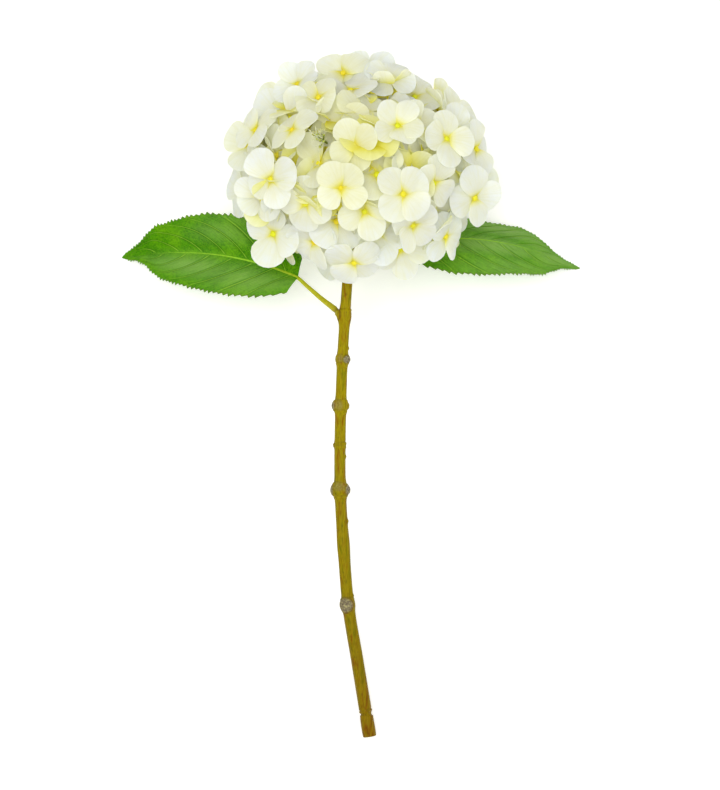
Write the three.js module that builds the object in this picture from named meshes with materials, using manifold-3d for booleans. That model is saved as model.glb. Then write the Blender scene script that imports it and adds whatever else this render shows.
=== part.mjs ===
// A cut mophead hydrangea that lies on its side: a woody stem, two leaves and one dense head of florets.
// Units are millimetres. The part's frame has its origin on the surface, right under the middle of the
// head, with +Z up and +Y along the stem towards the head.
// Everything is shaped in the flower's own frame, whose origin is the middle of the head: +Y runs up the
// stem, +X across it and +Z to the side that faces up. One group tilts that frame down onto the surface.
import * as THREE from "three";
import { mergeVertices } from "three/addons/utils/BufferGeometryUtils.js";
import Module from "manifold-3d";

// Head
const headHalfWidth = 79; // from the middle of the head to the ring of florets at its side
const headHalfHeight = 66; // from the middle of the head to the florets at its top
const headHalfDepth = 81; // from the middle of the head to the florets on the side that faces up
const shoulder = 0.1; // how far the head is drawn in halfway up to its top, as a share
const restHeight = 80; // height of the middle of the head above the surface it lies on
const siteCount = 100; // florets on a whole ball, before the gaps for the stem and leaves
const openAngle = 2.8; // angle from the top of the head at which the florets stop, round the stem
const droop = 0.45; // how much of their downward lean the florets under the head keep
const upwardLean = 0.9; // how much of their upward lean the florets above keep
const faceTurn = 0.95; // how far the florets round the head's side turn to show their faces
const faceFrom = -0.35; // those behind this share of the head's depth turn to its far side
const layerOffsets = [0, -9, 8]; // neighbouring florets stand at different heights
const layerReach = 36; // florets nearer than this are neighbours
const layerPasses = 6; // times that the florets choose their layers anew
const leafClearance = 8; // florets keep this far from a leaf
const seed = 7898;
const spiralTurn = 6.12; // turns the whole spiral of florets round the stem
const restingRoom = 26; // no floret stands nearer than this to the one that the head rests on

// Floret: four or five sepals round a bead, on a stalk
const sepalLength = 21;
const sepalNotch = 7.8; // distance from the bead to the notch between two sepals
const sepalThickness = 0.9;
const sepalRim = [
  { turn: -0.66, reach: 0.9 },
  { turn: 0, reach: 1 },
  { turn: 0.66, reach: 0.9 },
]; // turn is a share of half a sepal's angle, reach a share of its length
const rimSplit = 2; // the point of the rim that both ends of a sepal's foot are joined to
const fiveSepalShare = 0.1;
const mostTilt = 0.34; // radians
const cupRange = [-4, 0.5]; // how far a sepal's tip stands out of the floret's plane
const sizeRange = [0.88, 1.06];
const siteJitter = 3; // how far a floret strays from the spiral, across the stem and along it
const beadRadius = 2.4;
const beadRise = 1.8;
const stalkRadius = 1.3;

// Hub: the knot of short branches that the floret stalks stand on
const hub = { centre: new THREE.Vector3(0, -12, 0), halfSize: new THREE.Vector3(24, 20, 24) };
const hubSides = 12;
const hubRings = 8;
const stalkRoot = 12; // distance from the hub's centre to the sunk end of a stalk

// Stem
const stemPoints = [
  [-2.5, -22, 0],
  [-5, -55, 0.5],
  [-7.2, -85, 0.5],
  [-10, -130, 0],
  [-11.6, -180, -0.8],
  [-11.8, -225, 0],
  [-9.6, -264, 0.8],
  [-6, -307, 0],
  [0.2, -345, 0],
  [8.8, -398.7, 0],
];
const stemTopRadius = 3.4;
const stemEndRadius = 4.5;
const stemSides = 12;
const stemStep = 12; // between rings on a plain stretch
const ringOffsets = [-5.5, -2, 0, 2, 5.5]; // rings round a swelling
const ringSpacing = 1.6; // rings nearer than this to the last one are left out
const socketRings = 4; // rings of the stem's top that stand in the hub
const swellings = [
  { y: -104, rise: 0.9, length: 5 },
  { y: -134, rise: 1.3, length: 3.6 },
  { y: -166.5, rise: 1.7, length: 4 },
  { y: -194, rise: 0.5, length: 2.4 },
  { y: -225.5, rise: 2.2, length: 4.6 },
  { y: -264, rise: 0.4, length: 9 },
  { y: -306, rise: 0.8, length: 4 },
  { y: -383, rise: -0.7, length: 1.6 },
  { y: -392, rise: 0.3, length: 8 },
];
// Old leaf scars and a bud: low domes, turn is the angle from +X towards +Z
const scars = [
  { y: -134, turn: 0.5, rise: 0.9, length: 2.6, width: 0.5 },
  { y: -166.5, turn: 2.95, rise: 0.9, length: 2.8, width: 0.5 },
  { y: -166.5, turn: -0.1, rise: 0.6, length: 2.2, width: 0.4 },
  { y: -225.5, turn: 2.9, rise: 0.9, length: 3.2, width: 0.5 },
  { y: -225.5, turn: 0.3, rise: 1, length: 3.4, width: 0.5 },
  { y: -244, turn: 0.1, rise: 0.9, length: 2, width: 0.35 },
  { y: -306.5, turn: 2.1, rise: 1.1, length: 3.6, width: 0.6 },
];
const nubSides = 8;
const seatGap = 0.3; // between a leaf's stalk and its nub
const socketGap = 0.35; // round the stem's top, in the hub

// Leaves
const leafThickness = 0.9;
const toothCount = 22; // on each side
const toothDepth = 1.4;
const veinCount = 8; // on each side
const bladeStart = 0.012; // share of the midrib where the blade begins
const tipHalfWidth = 0.35;
const leafStrips = [0, 0.07, 0.52, 1]; // shares of the way from the midrib to the edge
const ribDepth = 1.7; // how far the rib stands out under the blade at its base
const ribRise = 0.4; // ... and above it
const petioleSides = 8;
const petioleSteps = 9;
const petioleSunk = 0.06; // share of the blade's length that the petiole runs on into its base
const bladeShape = {
  quilt: 0.7, // height of the swelling between two veins
  wave: 1.6, // height of the edge's slow wave
  waveTurn: 9, // radians of that wave along the midrib
  curl: 0.1, // how far the edge bends back, as a share of its distance from the midrib
};
// Each leaf's nub and petiole lead to the midrib. faces is the way its upper side looks, and fold is the
// angle in radians at which each half rises from the midrib.
const leaves = {
  leaf_left: {
    nub: { from: [-9.4, -104.8, -0.4], to: [-14.2, -100.2, -2.6], radii: [3.4, 2.7] },
    petiole: [
      [-25, -91.6, -9.5],
      [-35, -83, -15.5],
    ],
    midrib: [
      [-40, -77.4, -18],
      [-65.5, -68, -23],
      [-98.5, -61, -29],
      [-133, -59.5, -38],
      [-167.5, -63, -52],
    ],
    faces: [0, 0.31, 0.95],
    halfWidth: 29,
    fold: 0.24,
    petioleRadii: [2.5, 1.3],
  },
  leaf_right: {
    nub: { from: [-6, -70.6, -0.6], to: [-0.6, -69.4, -3.4], radii: [3.2, 2.6] },
    petiole: [
      [8, -66, -9.5],
      [19, -58.5, -20],
    ],
    midrib: [
      [28, -52.5, -27],
      [58, -49.5, -31],
      [90, -50.5, -34],
      [122, -57, -41],
      [159, -70.5, -53],
    ],
    faces: [0, 0.72, 0.69],
    halfWidth: 27.5,
    fold: -0.1,
    petioleRadii: [2.3, 1.3],
  },
};

const wasm = await Module();
wasm.setup();

// One draw after another from a small repeatable generator, between 0 and 1
let drawState = seed;
function draw(low = 0, high = 1) {
  drawState = (drawState * 16807) % 2147483647;
  return low + ((high - low) * drawState) / 2147483647;
}

const vectorOf = (p) => new THREE.Vector3(...p);
const curveThrough = (points) => new THREE.CatmullRomCurve3(points.map(vectorOf), false, "centripetal");

function solidOf(geometry) {
  const bare = geometry.clone();
  bare.deleteAttribute("normal");
  bare.deleteAttribute("uv");
  const merged = mergeVertices(bare, 1e-4);
  const triVerts = new Uint32Array(merged.index.array);
  return new wasm.Manifold(
    new wasm.Mesh({ numProp: 3, vertProperties: merged.attributes.position.array, triVerts }),
  );
}

// The solid's largest body as a geometry. Dropping the other bodies fills pockets and drops loose scraps.
function geometryOf(solid) {
  const body = solid.decompose().sort((a, b) => b.volume() - a.volume())[0];
  const mesh = body.getMesh();
  const geometry = new THREE.BufferGeometry();
  geometry.setAttribute("position", new THREE.BufferAttribute(mesh.vertProperties, 3));
  geometry.setIndex(new THREE.BufferAttribute(mesh.triVerts, 1));
  geometry.computeVertexNormals();
  return geometry;
}

function geometryFrom(points, triangles) {
  const geometry = new THREE.BufferGeometry();
  geometry.setAttribute(
    "position",
    new THREE.Float32BufferAttribute(points.flatMap((p) => p.toArray()), 3),
  );
  geometry.setIndex(triangles);
  return geometry;
}

// A closed tube: rings is a list of rings of points, all with the same number of points, counterclockwise
// as seen from the far end.
function tubeThrough(rings) {
  const sides = rings[0].length;
  const points = rings.flat();
  const triangles = [];
  for (let r = 0; r + 1 < rings.length; r++)
    for (let k = 0; k < sides; k++) {
      const a = r * sides + k;
      const b = r * sides + ((k + 1) % sides);
      triangles.push(a, b, b + sides, a, b + sides, a + sides);
    }
  const last = (rings.length - 1) * sides;
  for (let k = 1; k + 1 < sides; k++) {
    triangles.push(0, k + 1, k);
    triangles.push(last, last + k, last + k + 1);
  }
  return geometryFrom(points, triangles);
}

// A ring of points round centre, in the plane across direction, that starts from the side nearest to start.
function ringRound(centre, direction, start, radii) {
  const across = start.clone().addScaledVector(direction, -start.dot(direction)).normalize();
  const other = direction.clone().cross(across);
  return radii.map((radius, k) => {
    const turn = (2 * Math.PI * k) / radii.length;
    return centre
      .clone()
      .addScaledVector(across, radius * Math.cos(turn))
      .addScaledVector(other, radius * Math.sin(turn));
  });
}

// Stem -----------------------------------------------------------------------------------------------

const stemReach = -stemPoints.at(-1)[1];
const bell = (distance, length) => Math.exp(-((distance / length) ** 2));
const turnBetween = (a, b) => Math.atan2(Math.sin(a - b), Math.cos(a - b));

function stemRadius(y, turn) {
  const down = THREE.MathUtils.clamp(-y / stemReach, 0, 1);
  let radius = THREE.MathUtils.lerp(stemTopRadius, stemEndRadius, down);
  for (const s of swellings) radius += s.rise * bell(y - s.y, s.length);
  for (const s of scars)
    radius += s.rise * bell(y - s.y, s.length) * bell(turnBetween(turn, s.turn), s.width);
  return radius;
}

// The underside of the cut end comes down onto the surface: turn 3/4 is the side that faces it.
const endRadius = stemRadius(-stemReach, 1.5 * Math.PI);
const lyingTilt =
  Math.asin(restHeight / Math.hypot(stemReach, endRadius)) - Math.atan2(endRadius, stemReach);
const up = new THREE.Vector3(0, Math.sin(lyingTilt), Math.cos(lyingTilt));
const heightOf = (point) => restHeight + point.dot(up);

// Shares of the stem's length where it has a ring: evenly spaced, and closer at each swelling
function stemStations(curve) {
  const length = curve.getLength();
  const top = curve.getPointAt(0).y;
  const stations = [0, length];
  for (let at = stemStep; at < length - stemStep / 2; at += stemStep) stations.push(at);
  for (const s of swellings) for (const o of ringOffsets) stations.push(top - s.y + o);
  const kept = [];
  for (const at of stations.sort((a, b) => a - b)) {
    if (at < 0 || at > length) continue;
    if (!kept.length || at - kept.at(-1) > ringSpacing) kept.push(at);
  }
  kept[kept.length - 1] = length;
  return kept.map((at) => at / length);
}

function stemTube(stations, curve, grow) {
  const rings = stations.map((u) => {
    const centre = curve.getPointAt(u);
    const direction = curve.getTangentAt(u);
    const radii = Array.from({ length: stemSides }, (_, k) => {
      const turn = (2 * Math.PI * k) / stemSides; // from +X towards +Z
      return stemRadius(centre.y, turn) + grow;
    });
    return ringRound(centre, direction, new THREE.Vector3(1, 0, 0), radii);
  });
  if (grow) {
    rings[0].forEach((p) => p.addScaledVector(curve.getTangentAt(0), -grow));
  }
  return tubeThrough(rings);
}

// A short stub on the stem that a leaf's stalk sits on
function nubSolid({ from, to, radii }) {
  const a = vectorOf(from);
  const b = vectorOf(to);
  const direction = b.clone().sub(a).normalize();
  const start = new THREE.Vector3(0, 0, 1);
  const rings = [a, b].map((centre, k) =>
    ringRound(centre, direction, start, new Array(nubSides).fill(radii[k])),
  );
  return solidOf(tubeThrough(rings));
}

const stemCurve = curveThrough(stemPoints);
const stationList = stemStations(stemCurve);
const nubs = Object.values(leaves).map((leaf) => nubSolid(leaf.nub));
const stemSolid = wasm.Manifold.union([solidOf(stemTube(stationList, stemCurve, 0)), ...nubs]);
const stemSocket = solidOf(stemTube(stationList.slice(0, socketRings), stemCurve, socketGap));

// Leaves ---------------------------------------------------------------------------------------------

// Half the blade's width at share s of its length, as a share of the greatest: broad and round at the
// base, widest before the middle, and drawn out to a fine point.
function bladeWidth(s) {
  const body = Math.sin(Math.PI * Math.min(s, 1) ** 0.72) ** 0.6;
  return body * (1 - 0.55 * THREE.MathUtils.smoothstep(s, 0.78, 0.95));
}

// Veins leave the midrib at share s and run forward, to reach the edge at this share
const edgeShare = (s) => s + 0.2 * Math.sin(Math.PI * s ** 0.8) * (1 - 0.3 * s);

// A point of the blade's middle surface: s runs along the midrib, v from -1 to 1 across it, out along
// the veins, and tooth is how far the edge stands out there.
function bladePoint(leaf, curve, s, v, tooth) {
  const out = Math.abs(v);
  const along = THREE.MathUtils.clamp(s + (edgeShare(s) - s) * out, 0, 1);
  const tangent = curve.getTangentAt(along);
  const normal = vectorOf(leaf.faces);
  normal.addScaledVector(tangent, -normal.dot(tangent)).normalize();
  const side = normal.clone().cross(tangent).multiplyScalar(Math.sign(v));
  const width = Math.max(bladeWidth(along) * leaf.halfWidth, tipHalfWidth);
  const distance = out * (width + (out === 1 ? tooth : 0));
  const swelling = -Math.cos(2 * Math.PI * veinCount * s) * Math.sin(Math.PI * Math.min(out, 0.95));
  const slowWave = Math.sin(bladeShape.waveTurn * along + (v > 0 ? 0 : 2)) * out * out;
  const lift = (bladeShape.quilt * swelling + bladeShape.wave * slowWave) * bladeWidth(along);
  return curve
    .getPointAt(along)
    .addScaledVector(side, distance * Math.cos(leaf.fold))
    .addScaledVector(normal, distance * (Math.sin(leaf.fold) - bladeShape.curl * out) + lift);
}

// The blade as a closed sheet, with both faces split into the same triangles and a rib along its middle
function bladeSolid(leaf, curve) {
  const rowCount = 2 * toothCount;
  const across = [...leafStrips.slice(1).reverse().map((v) => -v), ...leafStrips];
  const columns = across.length;
  const faceSize = (rowCount + 1) * columns;
  const facing = vectorOf(leaf.faces).normalize();
  const points = [];
  for (const [side, ribHeight] of [[1, ribRise], [-1, ribDepth]])
    for (let row = 0; row <= rowCount; row++)
      for (const v of across) {
        const s = bladeStart + ((1 - bladeStart) * row) / rowCount;
        const point = bladePoint(leaf, curve, s, v, row % 2 ? toothDepth : 0);
        const rib = v ? 0 : ribHeight * (1 - s);
        points.push(point.addScaledVector(facing, side * (leafThickness / 2 + rib)));
      }
  const triangles = [];
  const quad = (a, b, c, d) => triangles.push(a, b, c, a, c, d);
  for (let row = 0; row < rowCount; row++) {
    for (let k = 0; k + 1 < columns; k++) {
      const a = row * columns + k;
      const b = a + columns;
      const mirrored = across[k] < 0; // the diagonals run with the veins on both sides
      for (const [c, turned] of [[0, false], [faceSize, true]]) {
        const corners = mirrored ? [a + 1, a, b, b + 1] : [a, b, b + 1, a + 1];
        const [p, q, r, t] = corners.map((corner) => corner + c);
        if (turned) quad(p, t, r, q);
        else quad(p, q, r, t);
      }
    }
    const left = row * columns;
    const right = left + columns - 1;
    quad(left, faceSize + left, faceSize + left + columns, left + columns);
    quad(right, right + columns, faceSize + right + columns, faceSize + right);
  }
  for (let k = 0; k + 1 < columns; k++) {
    const tip = rowCount * columns + k;
    quad(k, k + 1, faceSize + k + 1, faceSize + k);
    quad(tip, faceSize + tip, faceSize + tip + 1, tip + 1);
  }
  return solidOf(geometryFrom(points, triangles));
}

// The leaf's stalk, from its seat on the stem's nub into the base of the blade
function petioleSolid(leaf, blade) {
  const nubEnd = vectorOf(leaf.nub.to);
  const nubDirection = nubEnd.clone().sub(vectorOf(leaf.nub.from)).normalize();
  const first = nubEnd.clone().addScaledVector(nubDirection, seatGap);
  const second = first.clone().addScaledVector(nubDirection, 2);
  const sunk = [0, 0.5, 1].map((share) => {
    const point = blade.getPointAt(petioleSunk * share);
    return point.addScaledVector(vectorOf(leaf.faces), -ribDepth / 3).toArray();
  });
  const route = curveThrough([first.toArray(), second.toArray(), ...leaf.petiole, ...sunk]);
  const [thick, thin] = leaf.petioleRadii;
  const rings = Array.from({ length: petioleSteps + 1 }, (_, k) => {
    const u = k / petioleSteps;
    const direction = k ? route.getTangentAt(u) : nubDirection;
    const radius = THREE.MathUtils.lerp(thick, thin, Math.sqrt(u));
    const radii = new Array(petioleSides).fill(radius);
    return ringRound(route.getPointAt(u), direction, vectorOf(leaf.faces), radii);
  });
  return solidOf(tubeThrough(rings));
}

function leafSolid(leaf) {
  const curve = curveThrough(leaf.midrib);
  return bladeSolid(leaf, curve).add(petioleSolid(leaf, curve));
}

// Points spread over a blade, which the florets keep clear of
function bladeSamples(leaf) {
  const curve = curveThrough(leaf.midrib);
  const samples = [...leaf.petiole.map(vectorOf)];
  for (let s = 0; s < 1; s += 0.04)
    for (let v = -1; v <= 1; v += 0.25) samples.push(bladePoint(leaf, curve, s, v, 0));
  return samples;
}

// Head -----------------------------------------------------------------------------------------------

const headSize = new THREE.Vector3(headHalfWidth, headHalfHeight, headHalfDepth);
const floretGuide = new THREE.Vector3(0.31, 0.17, 0.93); // no floret's outward direction lies along it

// Florets on a sunflower spiral over the head's ball: each has a place, an outward direction, a turn,
// a size and a number of sepals.
function floretSites() {
  const sites = [];
  const golden = Math.PI * (3 - Math.sqrt(5));
  for (let i = 0; i < siteCount; i++) {
    const rise = 1 - (2 * (i + 0.5)) / siteCount;
    const reach = Math.sqrt(1 - rise * rise);
    const turn = i * golden + spiralTurn;
    const ball = new THREE.Vector3(reach * Math.cos(turn), rise, reach * Math.sin(turn));
    const drawnIn = rise > 0 ? 1 - shoulder * (2 * rise * reach) ** 2 : 1;
    const shift = new THREE.Vector3(draw(-siteJitter, siteJitter), draw(-siteJitter, siteJitter), 0);
    const tiltTurn = draw(0, 2 * Math.PI);
    const tilt = mostTilt * Math.sqrt(draw());
    const site = {
      place: ball.clone().multiply(headSize).multiplyScalar(drawnIn).add(shift),
      out: ball.clone().divide(headSize).normalize(),
      spin: draw(0, 2 * Math.PI),
      size: draw(...sizeRange),
      sepals: draw() < fiveSepalShare ? 5 : 4,
      curls: Array.from({ length: 5 }, () => draw(...cupRange)),
      eyeRise: beadRise,
    };
    const across = new THREE.Vector3(0, 0, 1).cross(site.out).normalize();
    const lean = across.applyAxisAngle(site.out, tiltTurn).multiplyScalar(Math.tan(tilt));
    site.out.y *= rise < 0 ? droop : upwardLean;
    site.out.z += (ball.z > faceFrom ? faceTurn : -faceTurn) * (1 - Math.abs(ball.z)) ** 1.5;
    site.out.add(lean).normalize();
    if (Math.acos(rise) < openAngle) sites.push(site);
  }
  return sites;
}

// The floret right under the head lies flat on the surface, and the head rests on it.
function restingSite() {
  const down = up.clone().negate();
  return {
    place: down.clone().multiplyScalar(restHeight),
    out: down,
    spin: 0.6,
    size: 1,
    sepals: 4,
    curls: [0, 0, 0, 0, 0],
    eyeRise: 0,
  };
}

// Neighbours get different heights: each floret in turn takes the layer that its nearest ones use least.
function layerSites(sites) {
  for (const site of sites) site.layer = 0;
  for (let pass = 0; pass < layerPasses; pass++)
    for (const site of sites) {
      const used = layerOffsets.map(() => 0);
      for (const other of sites) {
        const gap = other.place.distanceTo(site.place);
        if (other !== site && gap < layerReach) used[other.layer] += (1 - gap / layerReach) ** 2;
      }
      site.layer = used.indexOf(Math.min(...used));
    }
  for (const site of sites) site.place.addScaledVector(site.out, layerOffsets[site.layer]);
}

// A floret's points: the rim and the eye on top, then the rim and the stalk's ring under them
function floretPoints(site) {
  const { out, place, spin, size, sepals, curls, eyeRise } = site;
  const across = floretGuide.clone().cross(out).normalize();
  const other = out.clone().cross(across);
  const at = (radius, turn, height) =>
    place
      .clone()
      .addScaledVector(across, radius * Math.cos(turn + spin))
      .addScaledVector(other, radius * Math.sin(turn + spin))
      .addScaledVector(out, height);
  const step = (2 * Math.PI) / sepals;
  const top = [];
  const under = [];
  for (let k = 0; k < sepals; k++) {
    top.push(at(sepalNotch * size, (k - 0.5) * step, 0));
    for (const { turn, reach } of sepalRim) {
      const height = curls[k] * reach;
      top.push(at(sepalLength * size * reach, (k + turn / 2) * step, height));
    }
  }
  for (const p of top) under.push(p.clone().addScaledVector(out, -sepalThickness));
  for (let k = 0; k < sepals; k++) {
    top.push(at(beadRadius, (k - 0.5) * step, 0));
    under.push(at(stalkRadius, (k - 0.5) * step, -sepalThickness));
  }
  return { top, under, eye: at(0, 0, eyeRise) };
}

// A floret's solid, with its stalk down to the hub
function floretSolid(site) {
  const { top, under, eye } = floretPoints(site);
  const { sepals } = site;
  const lobe = sepalRim.length + 1;
  const rim = sepals * lobe;
  const size = top.length;
  const toHub = site.place.clone().sub(hub.centre).normalize();
  const root = hub.centre.clone().addScaledVector(toHub, stalkRoot);
  const start = under[rim].clone().sub(site.place);
  const foot = ringRound(root, toHub, start, new Array(sepals).fill(stalkRadius));
  const points = [...top, ...under, ...foot, eye];
  const triangles = [];
  const both = (a, b, c) => triangles.push(a, b, c, size + a, size + c, size + b);
  for (let k = 0; k < sepals; k++) {
    const inner = rim + k;
    const innerNext = rim + ((k + 1) % sepals);
    for (let j = 0; j < lobe; j++) {
      const here = k * lobe + j;
      both(j < rimSplit ? inner : innerNext, here, (here + 1) % rim);
    }
    both(inner, k * lobe + rimSplit, innerNext);
    triangles.push(inner, innerNext, points.length - 1);
    const a = size + inner;
    const b = size + innerNext;
    const c = 2 * size + k;
    const d = 2 * size + ((k + 1) % sepals);
    triangles.push(a, c, b, b, c, d);
    if (k > 1) triangles.push(2 * size, c, c - 1);
  }
  for (let k = 0; k < rim; k++) {
    const next = (k + 1) % rim;
    triangles.push(k, size + k, next, next, size + k, size + next);
  }
  return solidOf(geometryFrom(points, triangles));
}

function hubSolid() {
  const ball = new THREE.SphereGeometry(1, hubSides, hubRings);
  ball.scale(...hub.halfSize.toArray()).translate(...hub.centre.toArray());
  return solidOf(ball);
}

const lowest = (points) => Math.min(...points.map(heightOf));

function headSolid() {
  const samples = Object.values(leaves).flatMap(bladeSamples);
  const resting = restingSite();
  const sites = floretSites().filter((s) => s.place.distanceTo(resting.place) > restingRoom);
  layerSites(sites);
  const kept = sites.filter((site) => {
    const { top } = floretPoints(site);
    return top.every((p) => samples.every((q) => p.distanceTo(q) > leafClearance));
  });
  // A floret that would reach below the surface is pressed up by it
  for (const site of kept) {
    const { top, under, eye } = floretPoints(site);
    const sunk = -lowest([...top, ...under, eye]);
    if (sunk > 0) site.place.addScaledVector(up, sunk);
  }
  const florets = [resting, ...kept].map(floretSolid);
  return wasm.Manifold.union([hubSolid(), ...florets]).subtract(stemSocket);
}

// Assembly -------------------------------------------------------------------------------------------

const finishes = {
  stem: new THREE.MeshStandardMaterial({ color: 0x9d8a1c, roughness: 0.5, metalness: 0 }),
  leaf: new THREE.MeshStandardMaterial({ color: 0x4a9420, roughness: 0.45, metalness: 0, flatShading: true }),
  sepal: new THREE.MeshStandardMaterial({ color: 0xf4f3e6, roughness: 0.6, metalness: 0, flatShading: true }),
};

function meshOf(name, solid, finish) {
  const mesh = new THREE.Mesh(geometryOf(solid), finish);
  mesh.name = name;
  return mesh;
}

const flower = new THREE.Group();
flower.rotation.x = lyingTilt;
flower.position.z = restHeight;
flower.add(meshOf("stem", stemSolid, finishes.stem));
for (const [name, leaf] of Object.entries(leaves)) flower.add(meshOf(name, leafSolid(leaf), finishes.leaf));
flower.add(meshOf("bloom", headSolid(), finishes.sepal));

const part = new THREE.Group();
part.add(flower);

export default part;
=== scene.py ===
import math
from functools import partial

import bpy
import numpy as np
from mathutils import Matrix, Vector
from numpy.linalg import norm


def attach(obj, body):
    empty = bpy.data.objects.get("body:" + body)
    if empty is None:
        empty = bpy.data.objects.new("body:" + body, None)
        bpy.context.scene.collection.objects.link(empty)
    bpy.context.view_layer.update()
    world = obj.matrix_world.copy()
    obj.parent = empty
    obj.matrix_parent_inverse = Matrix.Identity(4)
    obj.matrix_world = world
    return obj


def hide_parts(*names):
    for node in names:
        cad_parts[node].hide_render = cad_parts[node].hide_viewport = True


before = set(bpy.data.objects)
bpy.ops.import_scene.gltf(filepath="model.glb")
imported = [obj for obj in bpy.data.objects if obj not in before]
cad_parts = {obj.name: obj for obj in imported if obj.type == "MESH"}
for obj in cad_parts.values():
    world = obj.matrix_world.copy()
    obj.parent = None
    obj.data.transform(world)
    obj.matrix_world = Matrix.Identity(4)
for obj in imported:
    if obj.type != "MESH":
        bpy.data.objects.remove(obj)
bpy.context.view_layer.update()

# The flower is laid out in its own frame, in millimetres: its origin is the middle of the head, +Y runs up
# the stem and +Z to the side that faces up. laidDown tips it onto the table, and the meshes are in metres.
lying = {
    "headHeight": 80,  # middle of the head above the table
    "stemReach": 398.7,  # from the middle of the head to the cut end
    "cutEndRadius": 4.64877,
}
lyingTilt = (math.asin(lying["headHeight"] / math.hypot(lying["stemReach"], lying["cutEndRadius"]))
             - math.atan2(lying["cutEndRadius"], lying["stemReach"]))
upward = np.array([0, math.sin(lyingTilt), math.cos(lyingTilt)])


def laidDown(points):
    p = np.asarray(points, float)
    c, s = math.cos(lyingTilt), math.sin(lyingTilt)
    y = c * p[..., 1] - s * p[..., 2]
    z = s * p[..., 1] + c * p[..., 2] + lying["headHeight"]
    return np.stack([p[..., 0], y, z], -1) / 1000


def aboveTable(places):
    return places @ upward + lying["headHeight"]


# Nothing sinks into the table: places lower than this are eased up onto it
def offTable(places, low):
    height = aboveTable(places)
    eased = np.where(height > low, height, low * np.exp((np.minimum(height, low) - low) / low))
    return places + (eased - height)[:, None] * upward


def unit(v):
    return v / np.maximum(norm(v, axis=-1, keepdims=True), 1e-12)


def smooth(x, low, high):
    t = np.clip((x - low) / (high - low), 0, 1)
    return t * t * (3 - 2 * t)


def between(start, end, share):
    return start + (end - start) * share


def bell(distance, length):
    return np.exp(-(distance / length) ** 2)


def turnBetween(a, b):
    return np.arctan2(np.sin(a - b), np.cos(a - b))


# A curve through the points as a table: its places, and how far along each one is
def curveThrough(points, steps=40):
    p = np.array(points, float)
    p = np.vstack([2 * p[0] - p[1], p, 2 * p[-1] - p[-2]])
    t = np.linspace(0, 1, steps, endpoint=False)[:, None]
    places = []
    for i in range(len(p) - 3):
        p0, p1, p2, p3 = p[i:i + 4]
        d0, d1, d2 = (norm(b - a) ** 0.5 for a, b in ((p0, p1), (p1, p2), (p2, p3)))
        m1 = ((p1 - p0) / d0 - (p2 - p0) / (d0 + d1) + (p2 - p1) / d1) * d1
        m2 = ((p2 - p1) / d1 - (p3 - p1) / (d1 + d2) + (p3 - p2) / d2) * d1
        bend = (3 * (p2 - p1) - 2 * m1 - m2) * t ** 2 + (2 * (p1 - p2) + m1 + m2) * t ** 3
        places.append(p1 + m1 * t + bend)
    places = np.vstack(places + [p[-2][None]])
    gone = np.r_[0, np.cumsum(norm(np.diff(places, axis=0), axis=1))]
    return places, gone


def placeAt(curve, share):
    places, gone = curve
    at = share * gone[-1]
    return np.stack([np.interp(at, gone, places[:, k]) for k in range(3)], -1)


def headingAt(curve, share, step=0.004):
    return unit(placeAt(curve, np.clip(share + step, 0, 1)) - placeAt(curve, np.clip(share - step, 0, 1)))


# The way that faces points, square to each heading
def squareTo(heading, faces):
    return unit(faces - heading * (heading @ faces)[:, None])


def ringPlaces(centre, across, other, radius, turn):
    return centre + across * (radius * np.cos(turn))[:, None] + other * (radius * np.sin(turn))[:, None]


# The plant's own small generator, so that the florets stand where the frame has them
def drawsFrom(seed):
    state = [seed]

    def draw(low=0.0, high=1.0):
        state[0] = state[0] * 16807 % 2147483647
        return low + (high - low) * state[0] / 2147483647

    return draw


def selectOnly(piece):
    bpy.ops.object.select_all(action="DESELECT")
    piece.select_set(True)
    bpy.context.view_layer.objects.active = piece


def addMarks(piece, marks):
    for key, values in marks.items():
        mark = piece.data.attributes.new(key, "FLOAT", "POINT")
        mark.data.foreach_set("value", np.asarray(values, np.float32))


def readPoints(mesh, key="co"):
    flat = np.zeros(len(mesh.vertices) * 3)
    mesh.vertices.foreach_get(key, flat)
    return flat.reshape(-1, 3)


def setPlaces(piece, places):
    piece.data.vertices.foreach_set("co", laidDown(places).astype(np.float32).ravel())


# A flat sheet from -1 to 1 each way, for a piece to be shaped from
def flatSheet(name, columns, rows):
    bpy.ops.object.select_all(action="DESELECT")
    bpy.ops.mesh.primitive_grid_add(x_subdivisions=columns, y_subdivisions=rows, size=2)
    sheet = bpy.context.object
    sheet.name = sheet.data.name = name
    return sheet, readPoints(sheet.data)


def giveWall(piece, thickness, offset):
    wall = piece.modifiers.new("wall", "SOLIDIFY")
    wall.thickness = thickness
    wall.offset = offset
    selectOnly(piece)
    bpy.ops.object.modifier_apply(modifier="wall")


# Gives a modelled shape's places and faces, and takes it away
def takeShape(piece):
    shape = readPoints(piece.data), [list(face.vertices) for face in piece.data.polygons]
    bpy.data.objects.remove(piece)
    return shape


def addObject(name, data):
    thing = bpy.data.objects.new(name, data)
    bpy.context.scene.collection.objects.link(thing)
    return thing


# One piece of many copies of a shape, each with places and marks of its own
def joinCopies(name, copies, shapeFaces, low):
    mesh = bpy.data.meshes.new(name)
    places = offTable(np.vstack([placed for placed, found in copies]), low)
    count = len(copies[0][0])
    faces = [[i + count * n for i in face] for n in range(len(copies)) for face in shapeFaces]
    mesh.from_pydata(laidDown(places).tolist(), [], faces)
    mesh.update()
    piece = addObject(name, mesh)
    addMarks(piece, {key: np.concatenate([found[key] for placed, found in copies]) for key in copies[0][1]})
    return piece


def finishPiece(piece, material, slot, smoothAngle, *nodes):
    selectOnly(piece)
    bpy.ops.object.shade_smooth_by_angle(angle=math.radians(smoothAngle))
    piece.data.materials.append(material)
    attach(piece, "root")
    if nodes:
        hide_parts(*nodes)
    print(piece.name, len(piece.data.polygons), "faces")


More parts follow.
